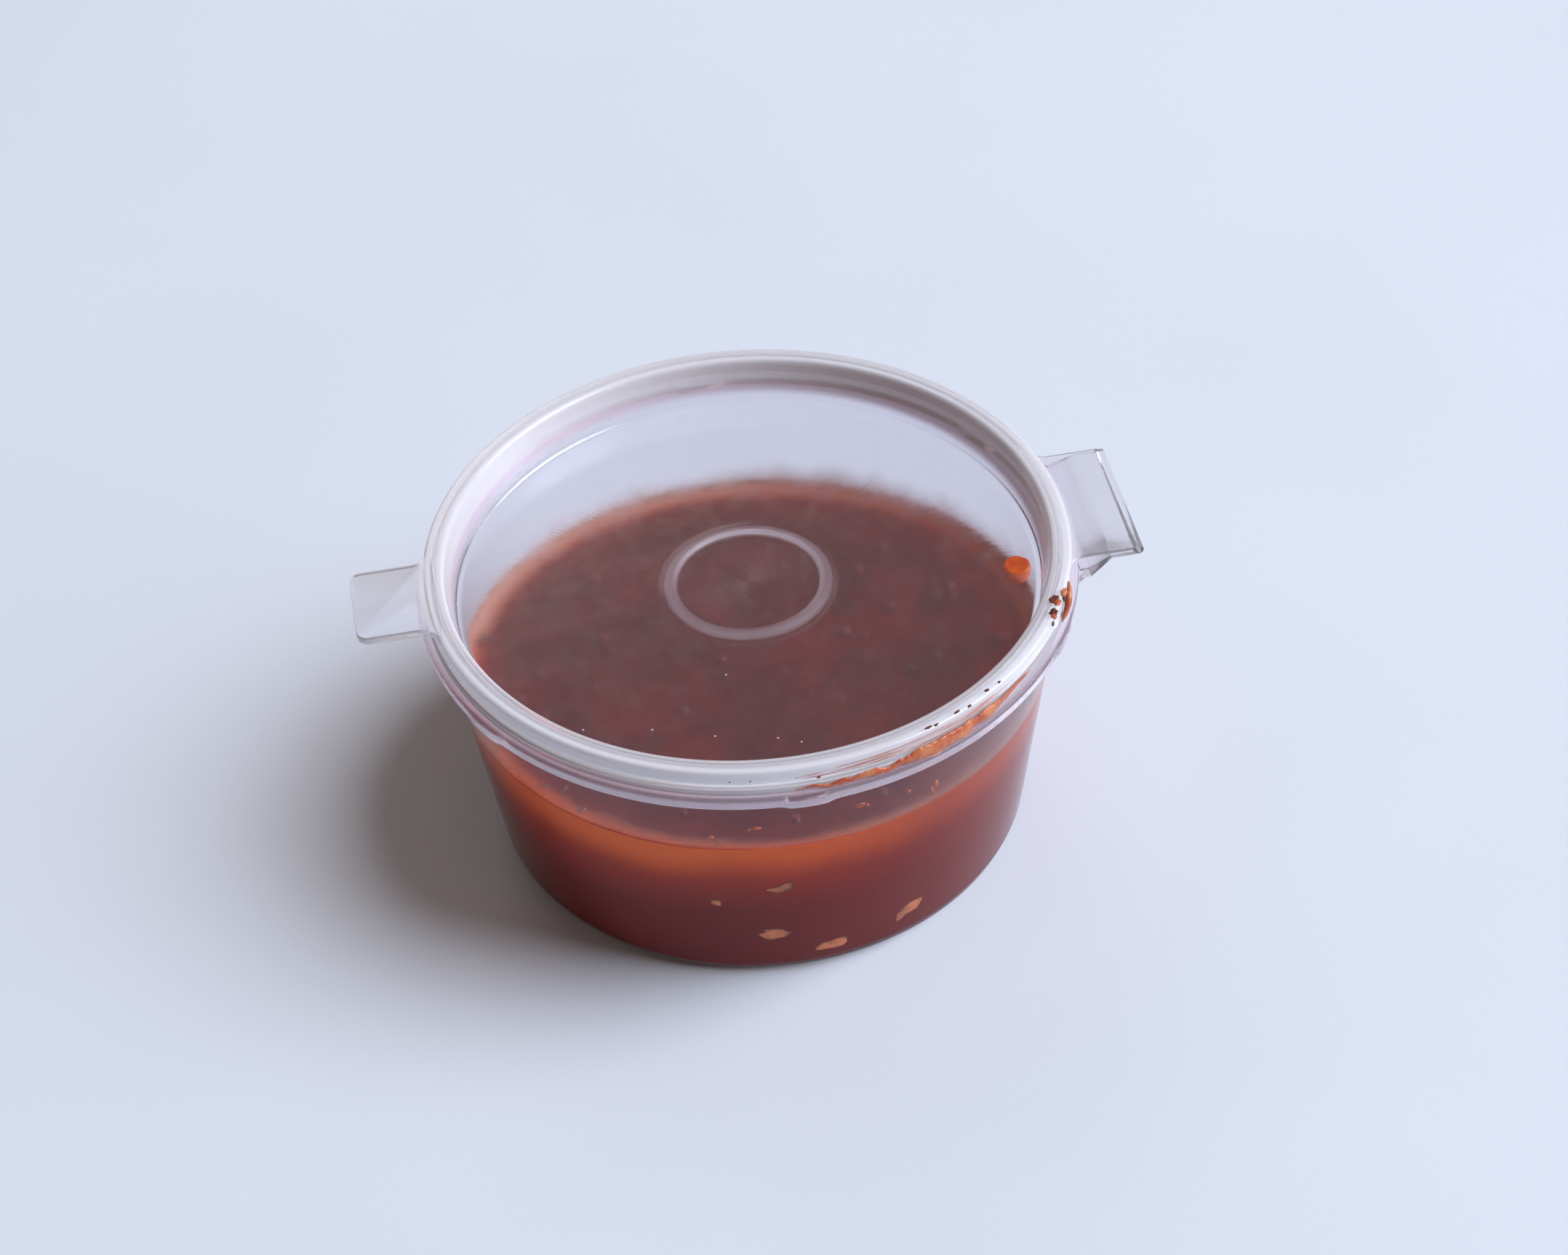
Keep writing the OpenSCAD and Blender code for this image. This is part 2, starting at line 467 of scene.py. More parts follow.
def strand(bm, stops, sides=10, steps_per_deg=1.5):
    """Adds a bead of sauce round the pot through (az, r, z, half depth, half height) stops."""
    first, last = stops[0][0], stops[-1][0]
    steps = max(6, int(abs(last - first) * steps_per_deg))
    ring = bmesh.ops.create_circle(
        bm, cap_ends=True, radius=1, segments=sides, matrix=Matrix.Rotation(math.pi / 2, 4, "X")
    )["verts"]
    faces = list({f for v in ring for f in v.link_faces})
    edges = list({e for v in ring for e in v.link_edges})
    rows = [ring]
    for _ in range(steps):
        grown = bmesh.ops.extrude_face_region(bm, geom=faces + edges + ring)["geom"]
        ring = [g for g in grown if isinstance(g, bmesh.types.BMVert)]
        faces = [g for g in grown if isinstance(g, bmesh.types.BMFace)]
        edges = [g for g in grown if isinstance(g, bmesh.types.BMEdge)]
        rows.append(ring)
    for i, row in enumerate(rows):
        az = first + (last - first) * i / steps
        r, z, deep, high = along(stops, az)
        centre = polar(az, r, z)
        a = math.radians(az)
        out = Vector((math.cos(a), math.sin(a), 0))
        for vert in row:
            x, z_off = vert.co.x, vert.co.z
            vert.co = centre + out * (x * deep * MM) + Vector((0, 0, z_off * high * MM))


def along(stops, az):
    """Values of the stops at az, each a straight run between its neighbours."""
    for a, b in zip(stops, stops[1:]):
        lo, hi = sorted((a[0], b[0]))
        if lo - TINY <= az <= hi + TINY:
            t = (az - a[0]) / (b[0] - a[0])
            return [p + (q - p) * t for p, q in zip(a[1:], b[1:])]
    return list(stops[-1][1:])


# --- materials

LILAC_AND_SAUCE_LIGHT = (0.90, 0.79, 0.90)  # the rim and the ring: partly the thick plastic's own tint, partly painted red light of the sauce showing through
SEE_THROUGH = (0.955, 0.94, 0.935, 1)  # what one wall lets through
BROWN = (0.085, 0.026, 0.016)
PULP = (0.30, 0.04, 0.018)
DARK_SPECKS = (0.028, 0.006, 0.005)
# Painted glow: red of the sauce against the wall, standing in for light through its thin edge.
PAINTED_GLOW_RED = (0.21, 0.016, 0.012)
# Painted light: the lit red at the top of the sauce's margin.
LIT_RED = (0.60, 0.05, 0.014)
CREAM = (0.60, 0.30, 0.23)
PALE_FILM = (0.74, 0.33, 0.18)
CREAM_FILM = (0.84, 0.52, 0.38)
STAIN = (0.74, 0.22, 0.08, 1)

# Where the plastic and the sauce change, in mm.
CROWN_MID_R = 30.2  # the crown is clearest here
CROWN_HAZE_R = 30.9  # the crown's haze ends here
SKIRT_HAZE_R = 31.25  # the skirt's haze begins here
THICK_RISE = 1.2  # height over which the rim's haze comes in
VEIL_LOW = 14.0  # the wall's haze is weakest up to here
VEIL_HIGH = 22.0  # and full from here
RED_FROM_R = 23.0  # the sauce is painted redder, for light through its thin edge, from here outward
OUTER_FROM_R = 26.3  # the margin of the sauce, painted lighter toward its top, begins here
SAUCE_RIM_R = 28.2  # both are full here


def node(tree, kind, inputs=None, **settings):
    """Adds a shader node; inputs maps sockets to values or to the sockets that feed them."""
    made = tree.nodes.new(kind)
    for key, value in settings.items():
        setattr(made, key, value)
    for key, value in (inputs or {}).items():
        if isinstance(value, bpy.types.NodeSocket):
            tree.links.new(value, made.inputs[key])
        else:
            made.inputs[key].default_value = value
    return made


def blended(tree, factor, first, second):
    """Colour between first and second."""
    made = node(tree, "ShaderNodeMix", {0: factor}, data_type="RGBA")
    for index, value in ((6, first), (7, second)):
        if isinstance(value, bpy.types.NodeSocket):
            tree.links.new(value, made.inputs[index])
        else:
            made.inputs[index].default_value = (*value, 1)
    return made.outputs[2]


def grain(tree, coords, scale, detail, rough=0.5):
    """Plain noise."""
    return node(
        tree,
        "ShaderNodeTexNoise",
        {"Vector": coords, "Scale": scale, "Detail": detail, "Roughness": rough},
    ).outputs["Fac"]


def cloud(tree, coords, scale, detail, rough, low, high, to=(0, 1)):
    """Noise whose run from low to high is stretched over the range to."""
    return spread(tree, grain(tree, coords, scale, detail, rough), low, high, *to)


def spread(tree, value, low, high, to_low=0.0, to_high=1.0, how="SMOOTHSTEP"):
    """Maps the run of value from low to high onto to_low to to_high."""
    return node(
        tree,
        "ShaderNodeMapRange",
        {0: value, 1: low, 2: high, 3: to_low, 4: to_high},
        interpolation_type=how,
    ).outputs[0]


def sums(tree, operation, a, b=0.5):
    """One step of arithmetic on values or sockets."""
    return node(tree, "ShaderNodeMath", {0: a, 1: b}, operation=operation).outputs[0]


def stored(tree, name):
    """Value that the mesh holds under a name at each of its points."""
    return node(tree, "ShaderNodeAttribute", attribute_name=name).outputs["Fac"]


def blank(name, **sockets):
    """New material; sockets sets values on its Principled shader."""
    mat = bpy.data.materials.new(name)
    mat.use_nodes = True
    tree = mat.node_tree
    bsdf = tree.nodes["Principled BSDF"]
    for key, value in sockets.items():
        bsdf.inputs[key.replace("_", " ")].default_value = value
    coords = node(tree, "ShaderNodeTexCoord").outputs["Object"]
    return mat, tree, bsdf, coords


def relief(tree, bsdf, height, depth_mm):
    """Bumps the surface by a height pattern of that depth."""
    made = node(tree, "ShaderNodeBump", {"Height": height, "Distance": depth_mm * MM})
    tree.links.new(made.outputs[0], bsdf.inputs["Normal"])


def round_coords(tree, coords, per_turn, per_mm):
    """Coordinates that follow the wall, round the pot and up it, and the plain height."""
    split = node(tree, "ShaderNodeSeparateXYZ", {0: coords}).outputs
    angle = sums(tree, "ARCTAN2", split[1], split[0])
    turns = sums(tree, "MULTIPLY", angle, per_turn / math.tau)
    up = sums(tree, "MULTIPLY", split[2], per_mm / MM)
    return node(tree, "ShaderNodeCombineXYZ", {0: turns, 1: up}).outputs[0], split[2]


def reach_out(tree, coords):
    """Distance from the pot's axis."""
    flat = node(
        tree, "ShaderNodeVectorMath", {0: coords, 1: (1, 1, 0)}, operation="MULTIPLY"
    ).outputs[0]
    return node(tree, "ShaderNodeVectorMath", {0: flat}, operation="LENGTH").outputs["Value"]


def clear_plastic(name, pot, streaks, thick_from, bend, shine, haze, ring_haze=0.0):
    """Moulded polypropylene: clear, faintly milky and lilac, soft gloss, fine draw lines.

    streaks is how many draw lines go round, thick_from the height of the thick rim's foot
    in mm, bend the index of refraction, haze what the thin part scatters.
    """
    mat, tree, bsdf, coords = blank(name, IOR=bend, Specular_IOR_Level=shine)
    gloss = cloud(tree, coords, 420.0, 4.0, 0.6, 0.3, 0.7, (0.09, 0.17))
    lines, height = round_coords(tree, coords, streaks, 0.05)
    reach = reach_out(tree, coords)
    crown, skirt = CROWN_HAZE_R * MM, SKIRT_HAZE_R * MM
    outside = spread(tree, reach, crown, skirt, pot.rim_haze, pot.skirt_haze)
    tall = spread(tree, height, thick_from * MM, (thick_from + THICK_RISE) * MM)
    trough = sums(tree, "ABSOLUTE", sums(tree, "SUBTRACT", reach, CROWN_MID_R * MM))
    outside = sums(tree, "MULTIPLY", outside, spread(tree, trough, 0.1 * MM, 0.5 * MM, 0.4, 1))
    rim = sums(tree, "MULTIPLY", outside, tall)
    leaves = spread(tree, reach, (SKIRT_R + 0.1) * MM, (SKIRT_R + 0.7) * MM, 1, 0.15)
    rim = sums(tree, "MULTIPLY", rim, leaves)
    near_ring = sums(tree, "ABSOLUTE", sums(tree, "SUBTRACT", reach, pot.ring_r))
    band = spread(tree, near_ring, 0.3 * MM, 0.8 * MM, 1, 0)
    on_ring = sums(tree, "MULTIPLY", band, ring_haze)
    gloss = sums(tree, "ADD", gloss, sums(tree, "MULTIPLY", band, 0.35))
    tree.links.new(gloss, bsdf.inputs["Roughness"])
    # Lilac tint on the flange and the ring: partly the thick plastic's own tint, partly painted
    # red light of the sauce showing through.
    lilac = spread(tree, height, (FLANGE_TOP + 0.4) * MM, FLANGE_TOP * MM)
    lilac = sums(tree, "MAXIMUM", sums(tree, "MULTIPLY", lilac, tall), band)
    tint = blended(tree, lilac, tuple(pot.plastic), LILAC_AND_SAUCE_LIGHT)
    tree.links.new(tint, bsdf.inputs["Base Color"])
    veil = spread(tree, height, VEIL_LOW * MM, VEIL_HIGH * MM, 0.25 * haze, haze)
    milk = sums(tree, "ADD", sums(tree, "MAXIMUM", rim, on_ring), veil)
    clear = sums(tree, "SUBTRACT", 1.0, milk)
    tree.links.new(clear, bsdf.inputs["Transmission Weight"])
    draw = grain(tree, lines, 1.0, 2.0)
    fine = grain(tree, coords, 1500.0, 2.0)
    waves = grain(tree, coords, 90.0, 2.0)
    mixed = sums(tree, "ADD", draw, sums(tree, "MULTIPLY", fine, 0.05))
    mixed = sums(tree, "ADD", mixed, waves)
    relief(tree, bsdf, mixed, 0.006)
    # Light on its way to a lamp or off a matt surface goes straight through the thin wall.
    through = node(tree, "ShaderNodeBsdfTransparent", {"Color": SEE_THROUGH})
    path = node(tree, "ShaderNodeLightPath").outputs
    lit = sums(tree, "MAXIMUM", path["Is Shadow Ray"], path["Is Diffuse Ray"])
    mix = node(
        tree, "ShaderNodeMixShader", {0: lit, 1: bsdf.outputs[0], 2: through.outputs[0]}
    )
    tree.links.new(mix.outputs[0], tree.nodes["Material Output"].inputs["Surface"])
    return mat


def sauce_shader(name, sauce):
    """Thick dark red sauce with redder clouds, brown patches and an orange oily top edge."""
    mat, tree, bsdf, coords = blank(
        name,
        Roughness=0.28,
        IOR=1.34,
        Specular_IOR_Level=0.12,
        Subsurface_Weight=0.12,
        Subsurface_Scale=0.8 * MM,
        Subsurface_Radius=(1.0, 0.25, 0.12),
    )
    clouds = cloud(tree, coords, 140.0, 4.0, 0.55, 0.38, 0.68)
    colour = blended(tree, clouds, tuple(sauce.deep), tuple(sauce.bright))
    brown = cloud(tree, coords, 75.0, 3.0, 0.5, 0.5, 0.72, (0, 0.45))
    colour = blended(tree, brown, colour, BROWN)
    pulp = cloud(tree, coords, 620.0, 3.0, 0.6, 0.56, 0.72, (0, 0.3))
    colour = blended(tree, pulp, colour, PULP)
    specks = cloud(tree, coords, 900.0, 2.0, 0.5, 0.66, 0.74, (0, 0.8))
    colour = blended(tree, specks, colour, DARK_SPECKS)
    above = stored(tree, "above")
    wander = cloud(tree, coords, 60.0, 2.0, 0.5, 0.3, 0.7, (-0.8, 0.8))
    above = sums(tree, "ADD", above, wander)
    reach = reach_out(tree, coords)
    rim = SAUCE_RIM_R * MM
    # Painted glow: toward the wall the sauce is made redder, standing in for light that comes
    # through its thin edge.
    edge = spread(tree, reach, RED_FROM_R * MM, rim, 0, 0.85)
    colour = blended(tree, edge, colour, PAINTED_GLOW_RED)
    outer = spread(tree, reach, OUTER_FROM_R * MM, rim)
    # Painted light: the margin is made lighter toward its top, where more light comes through
    # the sauce.
    painted_lift = spread(tree, above, -9.0, 0.5, 0, 0.85, "LINEAR")
    painted_lift = sums(tree, "MULTIPLY", painted_lift, outer)
    strength = stored(tree, "strength")
    painted_lift = sums(tree, "MULTIPLY", painted_lift, spread(tree, strength, 0.2, 0.8, 0.2, 1))
    colour = blended(tree, painted_lift, colour, LIT_RED)
    oil = spread(tree, above, -4.2, 0.8)
    oil = sums(tree, "MULTIPLY", sums(tree, "MULTIPLY", oil, outer), strength)
    colour = blended(tree, oil, colour, tuple(sauce.oil))
    thin = sums(tree, "MULTIPLY", spread(tree, above, -0.6, 1.0, 0, 0.85), outer)
    cream = sums(tree, "MULTIPLY", thin, stored(tree, "cream"))
    colour = blended(tree, cream, colour, CREAM)
    tree.links.new(colour, bsdf.inputs["Base Color"])
    relief(tree, bsdf, grain(tree, coords, 500.0, 3.0), 0.04)
    return mat


def film_shader(name, sauce):
    """Thin orange film that fades out up the wall, streaky at its edge."""
    mat, tree, bsdf, coords = blank(name, Roughness=0.35, IOR=1.4)
    fade = stored(tree, "fade")
    lines, _ = round_coords(tree, coords, 60.0, 0.25)
    streak = cloud(tree, lines, 1.0, 3.0, 0.5, 0.3, 0.7, (-0.05, 0.05))
    blotch = cloud(tree, coords, 220.0, 3.0, 0.55, 0.3, 0.7, (-0.08, 0.08))
    edge = sums(tree, "ADD", sums(tree, "ADD", fade, streak), blotch)
    strength = stored(tree, "strength")
    alpha = sums(tree, "MULTIPLY", spread(tree, edge, 0.15, 0.93, 1.0, 0.0), strength)
    tree.links.new(alpha, bsdf.inputs["Alpha"])
    pale = sums(
        tree, "MAXIMUM", spread(tree, edge, 0.35, 0.95), spread(tree, strength, 0.75, 0.35)
    )
    colour = blended(tree, pale, tuple(sauce.oil), PALE_FILM)
    colour = blended(tree, stored(tree, "cream"), colour, CREAM_FILM)
    tree.links.new(colour, bsdf.inputs["Base Color"])
    relief(tree, bsdf, blotch, 0.03)
    return mat


def stain_shader(name):
    """See-through orange stain, blotchy and streaked round the pot."""
    mat, tree, bsdf, coords = blank(name, Roughness=0.3, IOR=1.4, Base_Color=STAIN)
    lines, _ = round_coords(tree, coords, 40.0, 3.0)
    streak = cloud(tree, lines, 1.0, 4.0, 0.6, 0.4, 0.7, (0.05, 0.55))
    tree.links.new(streak, bsdf.inputs["Alpha"])
    relief(tree, bsdf, streak, 0.02)
    return mat


def bit_shader(name, colour, second, scale, rough=0.35, subsurface=0.2, soaked=None):
    """Small solid bits of two mingled colours; soaked is their colour inside the sauce."""
    mat, tree, bsdf, coords = blank(
        name, Roughness=rough, Subsurface_Weight=subsurface, Subsurface_Scale=0.5 * MM
    )
    patches = cloud(tree, coords, scale, 4.0, 0.6, 0.35, 0.65)
    mingled = blended(tree, patches, tuple(colour), second)
    if soaked:
        height = node(tree, "ShaderNodeSeparateXYZ", {0: coords}).outputs[2]
        wall = sums(tree, "MULTIPLY", height, WALL_LEAN)
        reach = sums(tree, "SUBTRACT", reach_out(tree, coords), wall)
        proud = spread(tree, reach, (WALL_IN_R + BITE) * MM, (WALL_IN_R + BITE + 0.10) * MM)
        mingled = blended(tree, proud, soaked, mingled)
    tree.links.new(mingled, bsdf.inputs["Base Color"])
    relief(tree, bsdf, grain(tree, coords, scale * 2.5, 3.0), 0.05)
    return mat


# --- pieces


class SAUCEPOT_OT_cup(bpy.types.Operator):
    """Makes the cup: one thin shell with lugs, and the lower leaf of its strap"""

    bl_idname = "saucepot.cup"
    bl_label = "Cup"

    # Six short thick places on the flange: spacing, half width and ramp in degrees,
    # how far they stand down and out in mm.
    LUG_EVERY = 60
    LUG_HALF = 4.9
    LUG_RAMP = 2.4
    LUG_DOWN = 0.34
    LUG_OUT = 0.05

    def execute(self, context):
        pot = context.scene.pot_settings
        bm = bmesh.new()
        outline(
            bm,
            [
                (0, 0, 0),
                (BASE_R, 0, 1.8),
                (WALL_TOP_R, FLANGE_BOTTOM, 0.25),
                (FLANGE_R, FLANGE_BOTTOM, 0.2),
                (FLANGE_R, FLANGE_TOP, 0.35),
                (SKIRT_R, FLANGE_TOP, 0.08),
                (SKIRT_R, BEAD_TOP, 0.25),
                (LIP_OUT_R, BEAD_TOP, 0.1),
                (LIP_OUT_R, LIP_TOP, 0.24),
                (LIP_IN_R, LIP_TOP, 0.24),
                (LIP_IN_R, FLANGE_TOP, 0.6),
                (wall_in(FLANGE_BOTTOM), FLANGE_BOTTOM, 0.4),
                (wall_in(FLOOR_T), FLOOR_T, 1.3),
                (0, FLOOR_T, 0),
            ],
        )
        turn(bm)
        self.add_lugs(bm)
        shell = piece("cup_shell", bm)
        root = 31.2
        ramp_end = 34.4
        top = HINGE_Z - 0.1
        under = top - 0.4
        leaf = side_plate(
            [
                (root, FLANGE_BOTTOM),
                (32.4, FLANGE_BOTTOM),
                (ramp_end, under),
                (36.75, under),
                (36.44, top),
                (ramp_end, top),
                (FLANGE_R, FLANGE_TOP - 0.02),
                (root, FLANGE_TOP - 0.02),
            ],
            STRAP_W,
            0.1,
        )
        web = plan_plate(
            FLANGE_R, 32.44, STRAP_W, z0=28.02, z1=28.9, corner=0, fillet=1.8, edge=0.08
        )
        obj = joined(shell, [piece("leaf", leaf), piece("web", web)], "pot_cup")
        plastic = clear_plastic(
            "Cup plastic",
            pot,
            streaks=260.0,
            thick_from=FLANGE_BOTTOM + 0.1,
            bend=1.24,
            shine=0.3,
            haze=pot.wall_haze,
        )
        obj.data.materials.append(plastic)
        crisp(obj)
        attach(obj, "pot")
        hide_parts("cup")
        return {"FINISHED"}

    def add_lugs(self, bm):
        """Six short thick places along the flange's lower edge."""
        for vert in bm.verts:
            r = radius(vert)
            z = vert.co.z / MM
            if r < WALL_TOP_R + 0.15 or not FLANGE_BOTTOM - 0.1 < z < FLANGE_TOP - 0.3:
                continue
            off = abs(azimuth(vert) % self.LUG_EVERY - self.LUG_EVERY / 2)
            lift = min(1, max(0, (self.LUG_HALF - off) / self.LUG_RAMP))
            lift = lift * lift * (3 - 2 * lift)
            if lift:
                out = 1 + self.LUG_OUT / FLANGE_R * lift if r > FLANGE_R - 0.05 else 1
                low = self.LUG_DOWN * lift * (1 if z < FLANGE_BOTTOM + 0.3 else 0)
                vert.co = (vert.co.x * out, vert.co.y * out, vert.co.z - low * MM)


class SAUCEPOT_OT_lid(bpy.types.Operator):
    """Makes the lid: panel, plug wall, crown, skirt, thumb tab and the strap's upper leaf"""

    bl_idname = "saucepot.lid"
    bl_label = "Lid"

    RING_H = 0.26

    def execute(self, context):
        pot = context.scene.pot_settings
        crown = POT_TOP - pot.crown_clear / MM
        ring_r = pot.ring_r / MM
        bm = bmesh.new()
        outline(
            bm,
            [
                (0, PANEL_BOTTOM, 0),
                (PANEL_R + 0.5, PANEL_BOTTOM, 0.3),
                (PLUG_OUT_R, CROWN_BOTTOM, 0.12),
                (SKIRT_IN_R, CROWN_BOTTOM, 0.1),
                (SKIRT_IN_R, SKIRT_BOTTOM, 0.1),
                (SKIRT_R, SKIRT_BOTTOM, 0.1),
                (SKIRT_R, crown, 0.4),
                (PLUG_IN_R, crown, 0.4),
                (PANEL_R, PANEL_TOP, 0.5),
                (ring_r + 0.9, PANEL_TOP, 0.4),
                (ring_r + 0.2, PANEL_TOP + self.RING_H, 0.3),
                (ring_r - 0.2, PANEL_TOP + self.RING_H, 0.3),
                (ring_r - 0.62, PANEL_TOP, 0.12),
                (0, PANEL_TOP, 0),
            ],
        )
        turn(bm)
        shell = piece("lid_shell", bm)
        tab = plan_plate(
            SKIRT_R, TAB_END, TAB_W, z0=31.0, z1=31.8, corner=1.2, fillet=1.6, edge=0.18
        )
        bmesh.ops.rotate(tab, verts=tab.verts, matrix=Matrix.Rotation(math.pi, 3, "Z"))
        leaf = plan_plate(
            SKIRT_R, HINGE_X, STRAP_W, z0=30.5, z1=30.9, corner=0, fillet=1.8, edge=0.08
        )
        fold = bmesh.new()
        bmesh.ops.create_cone(
            fold,
            cap_ends=True,
            segments=40,
            radius1=FOLD_R * MM,
            radius2=FOLD_R * MM,
            depth=STRAP_W * MM,
            matrix=Matrix.Translation((HINGE_X * MM, 0, HINGE_Z * MM))
            @ Matrix.Rotation(math.pi / 2, 4, "X"),
        )
        ends = [e for e in fold.edges if abs(e.verts[0].co.y - e.verts[1].co.y) < TINY]
        round_edges(fold, ends, 0.12, 2)
        parts = [piece("tab", tab), piece("leaf", leaf), piece("fold", fold)]
        obj = joined(shell, parts, "pot_lid")
        plastic = clear_plastic(
            "Lid plastic",
            pot,
            streaks=420.0,
            thick_from=PANEL_TOP + 0.4,
            bend=1.49,
            shine=0.4,
            haze=pot.panel_haze,
            ring_haze=0.015,
        )
        obj.data.materials.append(plastic)
        crisp(obj)
        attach(obj, "lid")
        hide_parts("lid")
        return {"FINISHED"}


class SAUCEPOT_OT_sauce(bpy.types.Operator):
    """Makes the sauce, which fills the pot to its level and creeps up the wall"""

    bl_idname = "saucepot.sauce"
    bl_label = "Sauce"

    SWELL = 0.16  # unevenness of the open top in mm
    RISE = 0.5  # unevenness at the wall in mm
    CALM_R = 28  # the top is uneven within this, the edge beyond it
    DIP_R = 26  # the slump grows out to here

    def execute(self, context):
        sauce = context.scene.sauce_settings
        level = sauce.level / MM
        top = level + sauce.creep / MM
        bm = bmesh.new()
        outline(
            bm,
            [
                (0, FLOOR_T - BITE, 0),
                (wall_in(FLOOR_T) + BITE, FLOOR_T - BITE, 1.3),
                (wall_in(top) + BITE, top, 0),
                (wall_in(top) - 0.05, top - 0.02, 0.05),
                (wall_in(level) - 0.3, level, 1.1),
                (0, level, 0),
            ],
        )
        flat = max(
            (e for e in bm.edges if min(v.co.z for v in e.verts) > sauce.level - TINY),
            key=lambda e: e.calc_length(),
        )
        bmesh.ops.subdivide_edges(bm, edges=[flat], cuts=70)
        turn(bm)
        for vert in bm.verts:
            if vert.co.z < sauce.level - TINY:
                continue
            r = radius(vert)
            calm = min(1, max(0, (self.CALM_R - r) / 2))
            dip = dip_at(azimuth(vert))
            swell = noise.fractal(vert.co * 120, 0.7, 2.0, 4) * self.SWELL
            rise = self.RISE * noise.noise(
                Vector((vert.co.x, vert.co.y, 0)) * 55 + Vector((3, 5, 1))
            )
            climb = max(0, vert.co.z - sauce.level) / MM
            low = dip * min(1, r / self.DIP_R) + 0.6 * climb * dip / SLUMP
            vert.co.z += (swell * calm + rise * (1 - calm) - low) * MM
        above = bm.verts.layers.float.new("above")
        strength = bm.verts.layers.float.new("strength")
        cream = bm.verts.layers.float.new("cream")
        for vert in bm.verts:
            az = azimuth(vert)
            vert[above] = vert.co.z / MM + dip_at(az) - level
            _, vert[strength], vert[cream] = along(FILM_EDGE, az)
        obj = piece(
            "pot_sauce", bm, sauce_shader("Chilli sauce", sauce), "pot"
        )
        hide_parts("sauce")
        return {"FINISHED"}


class SAUCEPOT_OT_wall_film(bpy.types.Operator):
    """Makes the thin orange film that the sauce left on the wall above its level"""

    bl_idname = "saucepot.wall_film"
    bl_label = "Wall film"

    OFF_WALL = 0.015  # mm between the film and the wall

    def execute(self, context):
        sauce = context.scene.sauce_settings
        foot = sauce.level / MM - 1.0
        head = foot + 1
        bm = bmesh.new()
        outline(
            bm,
            [
                (wall_in(foot) - self.OFF_WALL, foot, 0),
                (wall_in(head) - self.OFF_WALL, head, 0),
                (wall_in(head) - 0.035, head, 0),
                (wall_in(foot) - 0.08, foot, 0),
            ],
            closed=True,
        )
        tall = [e for e in bm.edges if abs(e.verts[0].co.z - e.verts[1].co.z) > 0.5 * MM]
        bmesh.ops.subdivide_edges(bm, edges=tall, cuts=14)
        turn(bm)
        fade = bm.verts.layers.float.new("fade")
        strength = bm.verts.layers.float.new("strength")
        cream = bm.verts.layers.float.new("cream")
        # The low band is stretched up to the film's edge at each azimuth.
        for vert in bm.verts:
            az = azimuth(vert)
            part = (vert.co.z / MM - foot) / (head - foot)
            edge, vert[strength], vert[cream] = along(FILM_EDGE, az)
            edge += 0.25 * noise.noise(Vector((vert.co.x, vert.co.y, 0)) * 120)
            start = foot - dip_at(az)
            z = start + (edge - start) * part
            r = radius(vert) + WALL_LEAN * (z - vert.co.z / MM)
            vert[fade] = part
            vert.co = polar(az, r, z)
        bmesh.ops.recalc_face_normals(bm, faces=bm.faces)
        piece("wall_film", bm, film_shader("Wall film", sauce), "pot")
        return {"FINISHED"}


class SAUCEPOT_OT_bits(bpy.types.Operator):
    """Makes the pale garlic and seeds and the chilli flakes that show in the sauce"""

    bl_idname = "saucepot.bits"
    bl_label = "Bits in the sauce"

    # Azimuth, height, half length, half height, tilt of each pale bit at the wall.
    GARLIC = [
        (-94.4, 13.9, 1.9, 1.0, 12),
        (-97.2, 6.6, 2.1, 1.15, -8),
        (-85.2, 3.7, 2.3, 1.25, 10),
        (-68.0, 4.9, 2.1, 1.4, 30),
        (-108.0, 11.6, 0.7, 0.5, -30),
    ]
    FLAKES = 90
    FLAKES_R = 27.0

    def execute(self, context):
        sauce = context.scene.sauce_settings
        bm = bmesh.new()
        for i, (az, z, long, high, tilt) in enumerate(self.GARLIC):
            depth = 0.6 if long > 1 else 0.3
            centre = polar(az, wall_in(z) - depth + 0.33, z)
            lump(bm, centre, (depth, long, high), 0.35, i * 3.1, tilt)
        heal(bm)
        pale = bit_shader(
            "Garlic", sauce.garlic, (0.50, 0.14, 0.04), 700.0, soaked=tuple(sauce.deep)
        )
        piece("garlic_bits", bm, pale, "pot")

        bm = bmesh.new()
        for i in range(self.FLAKES):
            spin = noise.random_unit_vector()
            az = math.degrees(math.atan2(spin.y, spin.x))
            r = self.FLAKES_R * math.sqrt(noise.random())
            size = 0.25 + 0.5 * noise.random()
            centre = polar(az, r, sauce.level / MM - 0.02)
            lump(bm, centre, (size, size * 0.7, 0.16), 0.5, i * 1.7, detail=2)
        heal(bm)
        flake = bit_shader("Chilli flakes", (0.22, 0.012, 0.008), (0.10, 0.008, 0.006), 900.0)
        piece("chilli_flakes", bm, flake, "pot")
        return {"FINISHED"}


